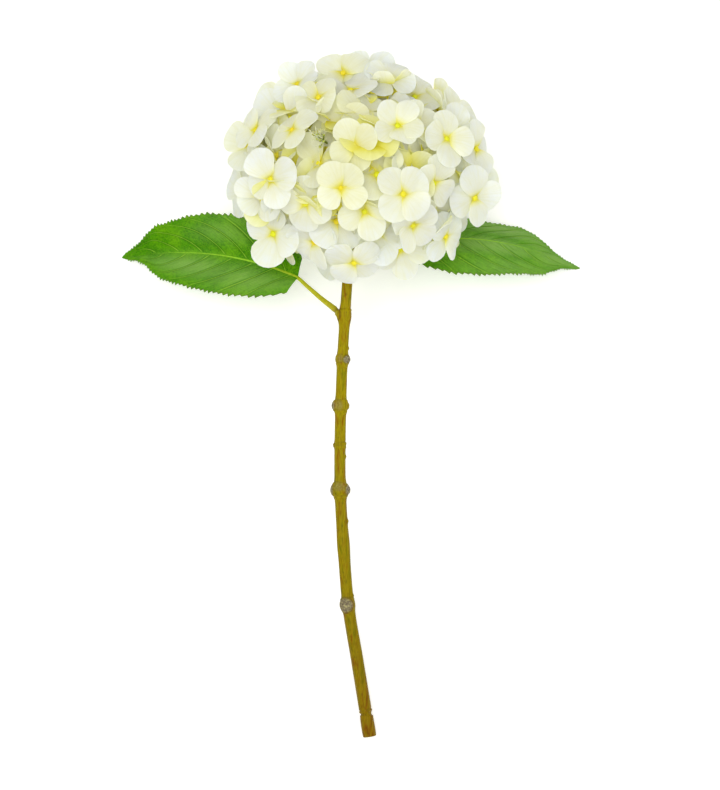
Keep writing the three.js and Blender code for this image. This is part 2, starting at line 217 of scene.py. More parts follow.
def linear(code):
    parts = [int(code[k:k + 2], 16) / 255 for k in (1, 3, 5)]
    return [p / 12.92 if p <= 0.04045 else ((p + 0.055) / 1.055) ** 2.4 for p in parts] + [1.0]


# Adds one node and gives one of its outputs. The inputs are values, hex colours or other nodes' outputs,
# the stops are a ramp's, and the settings are the node's own.
def addNode(tree, kind, inputs=None, output=0, stops=(), **settings):
    node = tree.nodes.new("ShaderNode" + kind)
    for key, value in settings.items():
        setattr(node, key, value)
    for place, code in stops[1:-1]:
        node.color_ramp.elements.new(place)
    for i, (place, code) in enumerate(stops):
        node.color_ramp.elements[i].position = place
        node.color_ramp.elements[i].color = linear(code)
    for key, value in (inputs or {}).items():
        if isinstance(value, bpy.types.NodeSocket):
            tree.links.new(value, node.inputs[key])
        else:
            node.inputs[key].default_value = linear(value) if isinstance(value, str) else value
    return node.outputs[output] if node.outputs else None


white, black = "#FFFFFF", "#000000"
blending = {"data_type": "RGBA"}
tinting = {"data_type": "RGBA", "blend_type": "MULTIPLY"}
multiplying = {"operation": "MULTIPLY"}
addingTo = {"operation": "MULTIPLY_ADD"}


# A new material, addNode for it, and the marks that its piece carries
def newMaterial(name, *marks):
    material = bpy.data.materials.new(name)
    material.use_nodes = True
    material.node_tree.nodes.clear()
    add = partial(addNode, material.node_tree)
    return material, add, *[add("Attribute", output="Fac", attribute_name=mark) for mark in marks]


# The colour tinted where the pattern says, and strength is how much
def tinted(add, colour, strength, pattern, stops):
    tint = add("ValToRGB", {0: pattern}, stops=stops)
    return add("Mix", {0: strength, 6: colour, 7: tint}, 2, **tinting)


# Every skin of the plant: relief is how strong and how many mm high, and through the share of light that
# passes, tinted by its glow
def finishSkin(add, colour, height, relief, roughness, ior, specular, through=0, glow=None):
    bump = add("Bump", {"Strength": relief[0], "Distance": relief[1] / 1000, "Height": height})
    skin = add("BsdfPrincipled", {"Base Color": colour, "Roughness": roughness, "IOR": ior,
                                  "Specular IOR Level": specular, "Normal": bump})
    if through:
        light = add("BsdfTranslucent", {"Color": glow, "Normal": bump} if glow else {"Color": colour})
        skin = add("MixShader", {0: through, 1: skin, 2: light})
    add("OutputMaterial", {"Surface": skin})


# Hydrangea sepals are thin, matt and waxy: white with a yellow base, and fine veins that fan out from it.
# Light comes through them, so the ones in the shade glow cream instead of going grey.
def sepalMaterial(name, through, glow, stops, tones):
    material, add, along, fan, tone = newMaterial(name, "along", "fan", "tone")
    place = add("TexCoord", output="Object")
    colour = add("ValToRGB", {0: along}, stops=stops)
    colour = tinted(add, colour, 1.0, tone, tones)
    # 12 to a radian sets the veins 1.2 mm apart halfway out
    fanned = add("CombineXYZ", {0: fan, 1: along, 2: tone})
    fanned = add("Mapping", {"Vector": fanned, "Scale": (12, 1.4, 60)})
    vein = add("TexNoise", {"Vector": fanned, "Scale": 1.0, "Detail": 1.5})
    colour = tinted(add, colour, 0.5, vein, [(0.36, "#FAF9EE"), (0.56, white)])
    # cloudy patches about 6 mm across, and skin cells drawn at 0.7 mm, coarser than real ones, so they show
    cloud = add("TexNoise", {"Vector": place, "Scale": 160, "Detail": 2})
    colour = tinted(add, colour, 0.6, cloud, [(0.35, "#FEFDF4"), (0.6, white)])
    cells = add("TexNoise", {"Vector": place, "Scale": 1400, "Detail": 1})
    height = add("Math", {0: vein, 1: 1.5, 2: cells}, **addingTo)
    glow = add("Mix", {0: 1.0, 6: colour, 7: glow}, 2, **tinting)
    finishSkin(add, colour, height, (0.2, 0.3), 0.55, 1.42, 0.25, through, glow)
    return material


# Closed buds: smooth, plump skin, a little glossy, saturated yellow in the middle of each floret and pale
# green on the small fertile flowers deep in the head
def budMaterial(name, stops):
    material, add, along, tone = newMaterial(name, "along", "tone")
    place = add("TexCoord", output="Object")
    colour = add("ValToRGB", {0: along}, stops=stops)
    colour = tinted(add, colour, 1.0, tone, [(0.0, "#F2FFC8"), (0.5, white), (1.0, "#FFF0D8")])
    # dimples 1 mm apart
    dimple = add("TexNoise", {"Vector": place, "Scale": 1000, "Detail": 1})
    finishSkin(add, colour, dimple, (0.2, 0.3), 0.4, 1.45, 0.3, 0.2)
    return material


# Soft stalks and threads: skin in cloudy patches, which also roughen it
def softMaterial(name, scale, detail, stops, *finish):
    material, add = newMaterial(name)
    place = add("TexCoord", output="Object")
    patch = add("TexNoise", {"Vector": place, "Scale": scale, "Detail": detail})
    colour = add("ValToRGB", {0: patch}, stops=stops)
    finishSkin(add, colour, patch, *finish)
    return material


# Half-woody green bark: satin olive yellow, browner towards the cut end, with fine ridges along it, dark
# pores, and grey-brown cork where leaves and buds once stood
oliveBark, add, down, scar, seam, pith = newMaterial("oliveStemBark", "down", "scar", "seam", "pith")
place = add("TexCoord", output="Object")
colour = add("ValToRGB", {0: down}, stops=[
    (0.0, "#9C8C06"), (0.4, "#9A8C04"), (0.75, "#8C7C03"), (1.0, "#846C04")])
# long streaks 2 mm across and 40 mm long, warm brown or greener than the bark round them
long = add("Mapping", {"Vector": place, "Scale": (420, 24, 420)})
streak = add("TexNoise", {"Vector": long, "Scale": 1.0, "Detail": 2})
colour = tinted(add, colour, 0.9, streak, [
    (0.32, "#D2E08C"), (0.44, white), (0.55, "#FFFBEE"), (0.7, "#E2A868")])
# ridges 0.8 mm apart that run along the stem
fine = add("Mapping", {"Vector": place, "Scale": (1300, 60, 1300)})
ridge = add("TexNoise", {"Vector": fine, "Scale": 1.0, "Detail": 3})
colour = tinted(add, colour, 0.55, ridge, [(0.32, "#BCAC70"), (0.6, white)])
# dark pores 1 mm long, one in each 3 by 6 mm
spread = add("Mapping", {"Vector": place, "Scale": (330, 160, 330)})
pores = add("TexVoronoi", {"Vector": spread, "Scale": 1.0})
pore = add("ValToRGB", {0: pores}, stops=[(0.1, white), (0.18, black)])
poreShare = add("Math", {0: pore, 1: 0.5}, **multiplying)
# corky scars, grained at 1.4 mm
cork = add("TexNoise", {"Vector": place, "Scale": 720, "Detail": 4})
corkTone = add("ValToRGB", {0: cork}, stops=[
    (0.3, "#584C40"), (0.46, "#766C56"), (0.56, "#8C845F"), (0.7, "#B2AA78")])
# the cut: green rind, pale straw wood and white pith
inside = add("ValToRGB", {0: pith}, stops=[
    (0.1, "#8A8424"), (0.3, "#C6BC78"), (0.62, "#D8D09C"), (0.72, "#EDE8CE")])
cut = add("Math", {0: pith, 1: 0.05}, operation="GREATER_THAN")
# the dark seam lies round each scar
for share, tint in ((poreShare, "#5E4E14"), (scar, corkTone), (seam, "#4A3A20"), (cut, inside)):
    colour = add("Mix", {0: share, 6: colour, 7: tint}, 2, **blending)
corkHeight = add("Math", {0: cork, 1: scar}, **multiplying)
height = add("Math", {0: pore, 1: 0.4, 2: ridge}, **addingTo)
height = add("Math", {0: corkHeight, 1: 1.5, 2: height}, **addingTo)
finishSkin(add, colour, height, (0.5, 0.4), 0.5, 1.46, 0.06)

# Leaf blade: firm, satin and deep green, with thin paler veins in furrows darkened by painted shade, a net of
# finer ones between them, and pale patches of painted sheen where the blade catches the light
greenBlade, add, veinAt, veinShow, across, paintedSheen, under = newMaterial(
    "satinGreenLeaf", "veinAt", "veinShow", "across", "paintedSheen", "under")
place = add("TexCoord", output="Object")
sheet = add("UVMap", uv_map="bladeSheet")
# mottled over 20 mm
patch = add("TexNoise", {"Vector": place, "Scale": 50, "Detail": 5, "Roughness": 0.6})
colour = add("ValToRGB", {0: patch}, stops=[(0.32, "#3C8400"), (0.5, "#56A000"), (0.66, "#74B408")])
# streaks that run with the side veins, a dozen between two of them
thread = add("CombineXYZ", {0: veinAt, 1: across})
thread = add("Mapping", {"Vector": thread, "Scale": (26, 4, 1)})
streak = add("TexNoise", {"Vector": thread, "Scale": 1.0, "Detail": 2})
colour = tinted(add, colour, 0.6, streak, [(0.35, "#B4CC84"), (0.6, white)])
# grain at 1.2 mm, where the skin between the finest veins catches the light or lies in shade
grain = add("TexNoise", {"Vector": place, "Scale": 820, "Detail": 3, "Roughness": 0.65})
colour = tinted(add, colour, 0.75, grain, [(0.34, "#88A850"), (0.5, "#E4EED0"), (0.64, "#FFFFE6")])
# the sheet is laid out so that one cell of the net is 1.6 mm
net = add("TexVoronoi", {"Vector": sheet, "Scale": 1.0}, feature="DISTANCE_TO_EDGE")
mesh = add("ValToRGB", {0: net}, stops=[(0.02, white), (0.07, "#8A8A8A"), (0.2, black)])
# painted sheen, broken up by the streaks
paintedSheenStreaks = add("Math", {0: paintedSheen, 1: streak}, **multiplying)
# side veins: a pale line 0.8 mm wide, with painted shade in the furrow beside it
gap = add("Math", {0: veinAt, 1: 0.5}, operation="PINGPONG")
furrow = add("ValToRGB", {0: gap}, stops=[(0.03, black), (0.065, white), (0.14, black)])
furrow = add("Math", {0: furrow, 1: veinShow}, **multiplying)
line = add("ValToRGB", {0: gap}, stops=[(0.02, white), (0.055, black)])
line = add("Math", {0: line, 1: veinShow}, **multiplying)
rim = add("ValToRGB", {0: across}, stops=[(0.965, black), (1.0, white)])
# the net, the painted sheen, the side veins with the painted shade of their furrows, a drier rim and a paler
# underside lie over the green in this order
for mask, strength, tint in ((mesh, 0.34, "#80BC18"), (paintedSheenStreaks, 1.8, "#88B454"), (furrow, 0.6, "#2F6E04"),
                             (line, 0.66, "#9CCC40"), (rim, 0.6, "#6C7030"), (under, 0.8, "#8FB068")):
    share = add("Math", {0: mask, 1: strength}, use_clamp=True, **multiplying)
    colour = add("Mix", {0: share, 6: colour, 7: tint}, 2, **blending)
height = add("Math", {0: mesh, 1: -0.5, 2: streak}, **addingTo)
finishSkin(add, colour, height, (0.5, 0.5), 0.42, 1.45, 0.05, 0.12)

# Midrib and leaf stalk: firm, shiny skin, olive yellow at the stem and yellow green on the blade
greenRib, add, along, seam = newMaterial("yellowGreenRib", "along", "seam")
place = add("TexCoord", output="Object")
colour = add("ValToRGB", {0: along}, stops=[
    (0.0, "#A09412"), (0.12, "#B4AE20"), (0.3, "#B8BA24"), (0.38, "#A4C220"), (0.55, "#92CA28"),
    (1.0, "#76B02A")])
# flecks 2 mm long
fleck = add("TexNoise", {"Vector": place, "Scale": 500, "Detail": 3})
colour = tinted(add, colour, 0.5, fleck, [(0.35, "#D6CC96"), (0.6, white)])
colour = add("Mix", {0: seam, 6: colour, 7: "#6A5212"}, 2, **blending)
finishSkin(add, colour, fleck, (0.3, 0.3), 0.45, 1.45, 0.2)

whiteSepal = sepalMaterial(
    "waxyWhiteSepal", 0.55, "#FFFFFC",
    [(0.0, "#F6EE3C"), (0.07, "#FAF68C"), (0.14, "#FBFBDA"), (0.24, "#FCFDF6"), (0.75, "#FBFDFE"),
     (1.0, "#FAFCFD")],
    [(0.0, "#FFFEEA"), (0.4, "#FFFFFA"), (0.65, white), (1.0, "#FDFEFF")])
ivorySepal = sepalMaterial(
    "waxyIvorySepal", 0.6, "#FFFFFA",
    [(0.0, "#F6EE2C"), (0.15, "#FBF668"), (0.34, "#FEFCA6"), (0.52, "#FDFDD8"), (0.8, "#FCFDF4"),
     (1.0, "#FBFCF5")],
    [(0.0, "#FFFED4"), (0.35, "#FEFEF3"), (0.7, white), (1.0, white)])
# the deepest florets are creamy yellow all over: partly their own tone and partly painted warm shade for the
# depth of the head
creamSepal = sepalMaterial(
    "creamInnerSepal", 0.55, "#FFFEE0",
    [(0.0, "#ECE42C"), (0.2, "#F8F25C"), (0.6, "#FDFA7C"), (1.0, "#FEFB96")],
    [(0.0, "#F8F4B4"), (0.4, "#FDFCE4"), (1.0, white)])
yellowBud = budMaterial("yellowBudSkin", [
    (0.0, "#E4DA2C"), (0.45, "#F6EE30"), (0.8, "#FAF23C"), (1.0, "#F0E82C")])
paleBud = budMaterial("greenSeedBudSkin", [(0.0, "#7F9030"), (0.6, "#B4BC4A"), (1.0, "#CED07A")])
# green stalk skin inside the head, patchy over 5 mm
greenStalk = softMaterial("softGreenStalk", 200, 3, [(0.3, "#5F7420"), (0.5, "#93A336"), (0.72, "#C2C85C")],
                          (0.3, 0.3), 0.5, 1.45, 0.25)
# pale, almost glassy threads of the small fertile flowers, clouded over 2 mm
paleThread = softMaterial("paleStamenThread", 500, 2, [(0.35, "#D6DAA4"), (0.65, "#F0F0DC")],
                          (0.2, 0.2), 0.45, 1.42, 0.3)
print("materials ready")


# A tube from a flat grid: wrap gives each point its place round the curve, then the seam is merged and the
# ends are filled
def rolledTube(name, sides, rings, wrap):
    tube, flat = flatSheet(name, sides, rings)
    places, marks = wrap((flat[:, 1] + 1) / 2, (flat[:, 0] + 1) * math.pi)
    setPlaces(tube, offTable(places, 0.3))
    addMarks(tube, marks)
    bpy.ops.object.mode_set(mode="EDIT")
    bpy.ops.mesh.select_mode(type="VERT")
    bpy.ops.mesh.select_all(action="SELECT")
    bpy.ops.mesh.remove_doubles(threshold=1e-6)
    bpy.ops.mesh.select_all(action="DESELECT")
    bpy.ops.mesh.select_non_manifold()
    bpy.ops.mesh.edge_face_add()
    bpy.ops.mesh.select_all(action="SELECT")
    bpy.ops.mesh.normals_make_consistent(inside=False)
    bpy.ops.object.mode_set(mode="OBJECT")
    return tube


stem = {
    "points": [[-2.5, -22, 0], [-5, -55, 0.5], [-7.2, -85, 0.5], [-10, -130, 0], [-11.6, -180, -0.8],
               [-11.8, -225, 0], [-9.6, -264, 0.8], [-6, -307, 0], [0.2, -345, 0], [8.8, -398.7, 0]],
    "radii": [3.4, 4.5], "sides": 56, "rings": 760,
    "swellings": [  # place down the stem, rise and length
        (-104, 0.9, 5), (-134, 1.3, 3.6), (-166.5, 1.7, 4), (-194, 0.5, 2.4), (-225.5, 2.2, 4.6),
        (-264, 0.4, 9), (-306, 0.8, 4), (-383, -0.7, 1.6), (-392, 0.3, 8)],
    "scars": [  # place, turn from +X over the top, rise, length, width as a turn, and how corky it is
        (-133.6, 0.9, 0.9, 3.2, 0.7, 1), (-133, 1.9, 0.1, 2.8, 0.5, 0.3), (-166.5, 2.8, 0.9, 3.6, 0.5, 0.9),
        (-165.5, 1.9, 0.2, 3.6, 0.7, 0.3), (-166.5, -0.1, 0.6, 2.2, 0.4, 0.9),
        (-225.2, 2.85, 0.9, 4.2, 0.5, 0.9), (-222.8, 1.7, 0.2, 3.2, 0.8, 0.32),
        (-225.5, 0.5, 1, 4.2, 0.6, 1), (-305.8, 2.0, 1.3, 6.0, 1.2, 0.95)],
    "buds": [  # small side buds: place, turn, rise, length and width
        (-103, 2.95, 1.6, 4.2, 0.6), (-126, 0.1, 0.7, 1.1, 0.3), (-202, 0.2, 0.7, 1.3, 0.3),
        (-194, 3.0, 0.5, 1.5, 0.35), (-247.5, 0.25, 0.9, 1.7, 0.32), (-300, 0.3, 0.6, 1.2, 0.3)],
    "creases": [  # place and rise
        (-99.5, 0.35), (-131.5, 0.2), (-137, 0.2), (-163, 0.3), (-170.5, 0.2), (-193, 0.3), (-195.5, 0.2),
        (-221, 0.3), (-230.5, 0.25), (-302, 0.25), (-381, 0.4), (-384.5, 0.35)],
    "cut": [  # share of the radius, and rise
        (1.0, 0.0), (0.96, 0.15), (0.88, 0.2), (0.84, 0.1), (0.6, 0.15), (0.36, 0.1), (0.31, -0.25),
        (0.04, -0.3)],
}
stemRings = stem["rings"] + len(stem["cut"])


# The last rings lie across the cut, which shows rind, wood and a slightly sunken pith
def stemWrap(share, turn):
    curve = curveThrough(stem["points"])
    ring = share * stemRings - stem["rings"]
    share = np.clip(share * stemRings / stem["rings"], 0, 1)
    level = np.arange(len(stem["cut"]) + 1)
    inward = np.interp(ring, level, [1] + [radius for radius, rise in stem["cut"]])
    bulge = np.interp(ring, level, [0] + [rise for radius, rise in stem["cut"]])
    centre = placeAt(curve, share)
    heading = headingAt(curve, share)
    across = squareTo(heading, np.array([1.0, 0, 0]))
    other = np.cross(heading, across)
    y = centre[:, 1]
    down = np.clip(-y / lying["stemReach"], 0, 1)
    radius = between(*stem["radii"], down)
    for at, rise, length in stem["swellings"]:
        radius = radius + rise * bell(y - at, length)
    scar = seam = np.zeros_like(y)
    for at, facing, rise, length, width, corky in stem["scars"]:
        dome = bell(y - at, length) * bell(turnBetween(turn, facing), width)
        radius = radius + rise * smooth(dome, 0.1, 0.62) - 0.7 * smooth(dome, 0.62, 0.95)
        scar = np.maximum(scar, corky * smooth(dome, 0.5 * corky - 0.1, 0.9 - 0.25 * corky))
        seam = np.maximum(seam, 0.5 * corky ** 2 * bell(dome - 0.42, 0.07))
    for at, facing, rise, length, width in stem["buds"]:
        dome = bell(y - at, length) * bell(turnBetween(turn, facing), width)
        radius = radius + rise * dome
        seam = np.maximum(seam, 0.6 * bell(dome - 0.35, 0.12))
    for at, rise in stem["creases"]:
        wander = at + 0.5 * np.sin(turn + at)
        fold = bell(y - wander - 1.1, 0.5)
        radius = radius + rise * (bell(y - wander, 0.6) - 0.8 * fold)
        seam = np.maximum(seam, 0.3 * fold * (0.5 + 0.5 * np.sin(2 * turn + 3 * at)))
    radius = radius + 0.06 * np.sin(5 * turn + y / 23) + 0.05 * np.sin(9 * turn - y / 31)
    places = ringPlaces(centre + heading * bulge[:, None], across, other, radius * inward, turn)
    return places, {"down": down, "scar": scar, "seam": seam, "pith": 1 - inward}


stemBark = rolledTube("stemBark", stem["sides"], stemRings, stemWrap)
finishPiece(stemBark, oliveBark, "stem", 50, "stem")

leafShape = {
    "teeth": 40, "toothDepth": 2.4, "start": 0.012, "tipHalfWidth": 0.35, "veinCount": 8.5,
    "wave": 1.6, "waveTurn": 9, "curl": 0.1, "quilt": 1.15, "furrow": 0.4, "pucker": 0.09,
    "thickness": 0.7, "columns": 56, "rows": 300, "length": 135, "netCell": 1.6,
}
# the pale patches of painted sheen: place along and across the blade, how far they reach each way, and
# strength
leaves = {
    "Left": {
        "node": "leaf_left",
        "nub": [[-9.4, -104.8, -0.4], [-14.2, -100.2, -2.6]], "nubRadii": [3.4, 2.7],
        "petiole": [[-25, -91.6, -9.5], [-35, -83, -15.5]],
        "midrib": [[-40, -77.4, -18], [-65.5, -68, -23], [-98.5, -61, -29], [-133, -59.5, -38],
                   [-167.5, -63, -52]],
        "faces": np.array([0, 0.31, 0.95]), "halfWidth": 29, "fold": 0.24, "radii": [2.5, 1.3], "rib": 1.0,
        "slimmer": (0.45, -0.3), "bulges": [(-1, 0.5, 0.2, 1.0)],
        "paintedSheen": [(0.25, 0.55, 0.3, 0.4, 0.75), (0.6, 0.4, 0.25, 0.35, 0.8), (0.45, -0.6, 0.16, 0.3, 0.55),
                 (0.3, -0.95, 0.25, 0.2, 0.5)],
    },
    "Right": {
        "node": "leaf_right",
        "nub": [[-6, -70.6, -0.6], [-0.6, -69.4, -3.4]], "nubRadii": [3.2, 2.6],
        "petiole": [[8, -66, -9.5], [19, -58.5, -20]],
        "midrib": [[28, -52.5, -27], [58, -49.5, -31], [90, -50.5, -34], [122, -57, -41], [159, -70.5, -53]],
        "faces": np.array([0, 0.72, 0.69]), "halfWidth": 27.5, "fold": -0.1, "radii": [2.3, 1.3], "rib": 0.62,
        "slimmer": (0.58, 0.2), "bulges": [(1, 0.68, 0.08, 3.2), (1, 0.46, 0.07, -1.4), (-1, 0.5, 0.12, 1.2)],
        "paintedSheen": [(0.5, -0.15, 0.3, 0.35, 1.0), (0.55, 0.7, 0.35, 0.4, 1.0), (0.9, 0.0, 0.2, 0.9, 1.0),
                 (0.35, 0.9, 0.25, 0.35, 0.9), (0.6, -0.8, 0.35, 0.4, 0.6)],
    },
}


def bladeWidth(s):
    body = np.maximum(np.sin(math.pi * np.clip(s, 0, 1) ** 0.72), 0) ** 0.6
    return body * (1 - 0.55 * smooth(s, 0.78, 0.95))


# How far along towards the tip a place comes to lie: the rim runs ahead of the midrib
def alongBlade(s, out):
    rim = s + 0.2 * np.sin(math.pi * s ** 0.8) * (1 - 0.3 * s)
    return np.clip(s + (rim - s) * out, 0, 1)


# Places on the blade: s runs along the midrib and v from -1 to 1 across it
def bladeSheet(leaf, s, v, teeth=0, relief=0, slimmer=0):
    curve = curveThrough(leaf["midrib"])
    out = np.abs(v)
    along = alongBlade(s, out)
    heading = headingAt(curve, along)
    normal = squareTo(heading, leaf["faces"])
    side = np.cross(normal, heading) * np.sign(v)[:, None]
    width = bladeWidth(along) * leaf["halfWidth"] * (1 - slimmer * smooth(along, 0.72, 0.93))
    distance = out * np.maximum(width, leafShape["tipHalfWidth"]) + teeth
    slow = np.sin(leafShape["waveTurn"] * along + np.where(v > 0, 0, 2)) * out * out
    lift = (distance * (math.sin(leaf["fold"]) - leafShape["curl"] * out)
            + leafShape["wave"] * slow * bladeWidth(along) + relief)
    level = distance * math.cos(leaf["fold"])
    return placeAt(curve, along) + side * level[:, None] + normal * lift[:, None], distance


# Which side vein a place lies by, whole numbers being on a vein: they leave the midrib at a slant, bend
# towards the tip, and stand a little further on along one half than along the other
def veinNumber(along, v):
    out = np.abs(v)
    starts = np.linspace(-0.45, 1, 300)
    climb = 0.5 + 0.5 * smooth(starts, 0, 0.3) - 0.45 * smooth(starts, 0.6, 1)
    foot = np.zeros_like(along)
    for value in np.unique(np.round(out, 5)):
        on = np.abs(out - value) < 1e-4
        foot[on] = np.interp(along[on], starts + climb * (0.2 * value + 0.16 * value ** 2), starts)
    number = leafShape["veinCount"] * np.maximum(foot, 0) ** 0.85 + np.where(v > 0, 0.32, 0)
    return np.maximum(number, 0.5)


def makeBlade(side, leaf):
    blade, flat = flatSheet("leafBlade" + side, leafShape["columns"], leafShape["rows"])
    v = np.sign(flat[:, 0]) * np.abs(flat[:, 0]) ** 1.15
    out = np.abs(v)
    s = leafShape["start"] + (1 - leafShape["start"]) * (flat[:, 1] + 1) / 2
    along = alongBlade(s, out)
    number = veinNumber(along, v)
    offVein = np.abs(number - np.round(number))
    # forward pointing teeth, no two alike
    notch = (leafShape["teeth"] * s + 0.12 * np.sin(23 * s)) % 1
    tooth = np.where(notch < 0.74, notch / 0.74, (1 - notch) / 0.26)
    tooth = tooth * (0.8 + 0.25 * np.sin(61 * s + 2 * np.sign(v)))
    distance = out * bladeWidth(along) * leaf["halfWidth"]
    teeth = smooth(out, 0.9, 1.0) * tooth * leafShape["toothDepth"] * smooth(distance, 0.5, 4)
    # the blade domes up between the side veins, which lie in sharp furrows, and puckers in small steps
    step = np.sin(distance * 2.1 + 1.5 * np.sin(number * math.tau)) * smooth(offVein, 0.05, 0.2)
    relief = (leafShape["quilt"] * (np.sin(math.pi * offVein) ** 0.7 - 0.6)
              - leafShape["furrow"] * bell(offVein, 0.07) + leafShape["pucker"] * step)
    relief = relief * smooth(out, 0, 0.22) * (1 - 0.7 * smooth(out, 0.62, 1)) * bladeWidth(along)
    slimmer = np.where(v > 0, *leaf["slimmer"])
    # the rim bulges a little here and there
    for half, at, length, rise in leaf["bulges"]:
        teeth = teeth + np.where(v * half > 0, rise * bell(along - at, length) * smooth(out, 0.3, 1), 0)
    places, distance = bladeSheet(leaf, s, v, teeth, relief, slimmer)
    setPlaces(blade, places)
    # pale patches of painted sheen, where the blade catches the light
    paintedSheen = np.zeros_like(v)
    for at, level, length, width, strength in leaf["paintedSheen"]:
        paintedSheen = np.maximum(paintedSheen, strength * bell(along - at, length) * bell(v - level, width))
    show = smooth(out, 0.02, 0.1) * (1 - 0.6 * smooth(out, 0.75, 0.98))
    addMarks(blade, {"veinAt": number, "veinShow": show, "across": out, "paintedSheen": paintedSheen})
    corner = np.zeros(len(blade.data.loops), np.int32)
    blade.data.loops.foreach_get("vertex_index", corner)
    blade.data.uv_layers.remove(blade.data.uv_layers[0])
    sheet = blade.data.uv_layers.new(name="bladeSheet")
    spread = np.stack([np.sign(v) * distance + 60, s * leafShape["length"]], -1) / leafShape["netCell"]
    sheet.data.foreach_set("uv", spread[corner].astype(np.float32).ravel())
    giveWall(blade, leafShape["thickness"] / 1000, 0)
    facing = unit(laidDown(leaf["faces"]) - laidDown(np.zeros(3)))
    addMarks(blade, {"under": readPoints(blade.data, "normal") @ facing < 0})
    finishPiece(blade, greenBlade, "leaf", 50, leaf["node"])


def makeStalk(side, leaf):
    curve = curveThrough(leaf["midrib"])
    ribShares = np.linspace(0.02, 0.97, 14)
    normal = squareTo(headingAt(curve, ribShares), leaf["faces"])
    # most of the rib lies under the blade, and its back stands out above and below
    sunk = leaf["rib"] * (0.45 + 1.0 * (1 - ribShares) ** 1.2) - 0.62 * leaf["rib"] * (1 - ribShares) - 0.3
    ribPlaces = placeAt(curve, ribShares) - normal * sunk[:, None]
    nubFrom, nubTo = np.array(leaf["nub"], float)
    nubEnd = nubTo + unit(nubTo - nubFrom) * 2.3
    whole = curveThrough(np.vstack([[nubFrom, nubTo, nubEnd], leaf["petiole"], ribPlaces]))
    total = whole[1][-1]
    start = norm(nubTo - nubFrom)
    ribStart = whole[1][np.argmin(norm(whole[0] - ribPlaces[0], axis=1))]

    def wrap(share, turn):
        aim = headingAt(whole, share, 0.006)
        across = squareTo(aim, leaf["faces"])
        gone = share * total
        stalk = between(*leaf["radii"], np.sqrt(np.clip((gone - start) / (ribStart - start), 0, 1)))
        nub = between(*leaf["nubRadii"], np.clip(gone / start, 0, 1))
        radius = np.where(gone < start, nub, stalk) - 0.8 * bell(gone - start - 0.4, 0.8)
        along = np.clip((gone - ribStart) / (total - ribStart), 0, 1)
        rib = leaf["rib"] * (0.42 + 1.0 * (1 - along) ** 1.2)
        radius = between(radius, rib, smooth(gone, ribStart - 4, ribStart + 3))
        # a shallow groove along the upper side of the stalk
        groove = smooth(gone, start, start + 8) * (1 - smooth(gone, ribStart, ribStart + 10))
        radius = radius * (1 - 0.16 * bell(turnBetween(turn, 0), 0.5) * groove)
        places = ringPlaces(placeAt(whole, share), across, np.cross(aim, across), radius, turn)
        tone = 0.36 * np.clip(gone / ribStart, 0, 1) + 0.64 * along
        return places, {"along": tone, "seam": 0.8 * bell(gone - start - 0.4, 0.7)}

    finishPiece(rolledTube("leafStalk" + side, 16, 150, wrap), greenRib, "leaf", 60)


for side, leaf in leaves.items():
    makeBlade(side, leaf)
    makeStalk(side, leaf)

head = {
    "halfSize": np.array([79.0, 66.0, 81.0]), "shoulder": 0.1, "faceTurn": 0.95, "faceFrom": -0.35,
    "count": 100, "openAngle": 2.8, "droop": 0.45, "upwardLean": 0.9,
    "layers": [0, -9, 8], "reach": 36, "passes": 6, "leafClearance": 8, "seed": 7898, "spiralTurn": 6.12,
    "restingRoom": 26, "rimAbove": 0.9, "fiveShare": 0.1, "mostTilt": 0.34, "cup": (-4, 0.5),
    "sizes": (0.88, 1.06), "jitter": 3, "sepalLength": 21, "notch": 7.8,
    "guide": np.array([0.31, 0.17, 0.93]), "hub": np.array([0.0, -12.0, 0.0]),
}
goldenTurn = math.pi * (3 - math.sqrt(5))


# Even steps down a ball from its top, each a golden turn on from the last
def spiralStep(i, count, startTurn=0, descent=2):
    rise = 1 - descent * (i + 0.5) / count
    reach = math.sqrt(1 - rise * rise)
    turn = i * goldenTurn + startTurn
    return np.array([reach * math.cos(turn), rise, reach * math.sin(turn)]), reach


def leanOf(out, mostTilt, draw):
    direction = draw(0, math.tau)
    tilt = mostTilt * math.sqrt(draw())
    across = unit(np.cross([0, 0, 1], out))
    return (across * math.cos(direction) + np.cross(out, across) * math.sin(direction)) * math.tan(tilt)


def outerSites():
    draw = drawsFrom(head["seed"])
    found = []
    for i in range(head["count"]):
        ball, reach = spiralStep(i, head["count"], head["spiralTurn"])
        rise = ball[1]
        drawnIn = 1 - head["shoulder"] * (2 * rise * reach) ** 2 if rise > 0 else 1
        shift = np.array([draw(-head["jitter"], head["jitter"]) for _ in range(2)] + [0])
        out = unit(ball / head["halfSize"])
        lean = leanOf(out, head["mostTilt"], draw)
        site = {
            "place": ball * head["halfSize"] * drawnIn + shift,
            "spin": draw(0, math.tau), "size": draw(*head["sizes"]),
            "sepals": 5 if draw() < head["fiveShare"] else 4, "curls": [draw(*head["cup"]) for _ in range(5)],
        }
        out = out * np.array([1, head["droop"] if rise < 0 else head["upwardLean"], 1])
        # florets round the side turn to show their faces
        out[2] += (1 if ball[2] > head["faceFrom"] else -1) * head["faceTurn"] * (1 - abs(ball[2])) ** 1.5
        site["out"] = unit(out + lean)
        if math.acos(rise) < head["openAngle"]:
            found.append(site)
    return found


def frameOf(out):
    across = unit(np.cross(head["guide"], out))
    return np.array([across, np.cross(out, across), out])


def rimPoints(site):
    across, other, out = frameOf(site["out"])
    step = math.tau / site["sepals"]
    points = []
    for k in range(site["sepals"]):
        marks = [((k - 0.5) * step, head["notch"], 0)]
        for turn, share in ((-0.66, 0.9), (0, 1), (0.66, 0.9)):
            marks.append(((k + turn / 2) * step, head["sepalLength"] * share, site["curls"][k] * share))
        for turn, radius, height in marks:
            turn += site["spin"]
            radius *= site["size"]
            level = across * radius * math.cos(turn) + other * radius * math.sin(turn)
            points.append(site["place"] + level + out * height)
    return np.array(points)


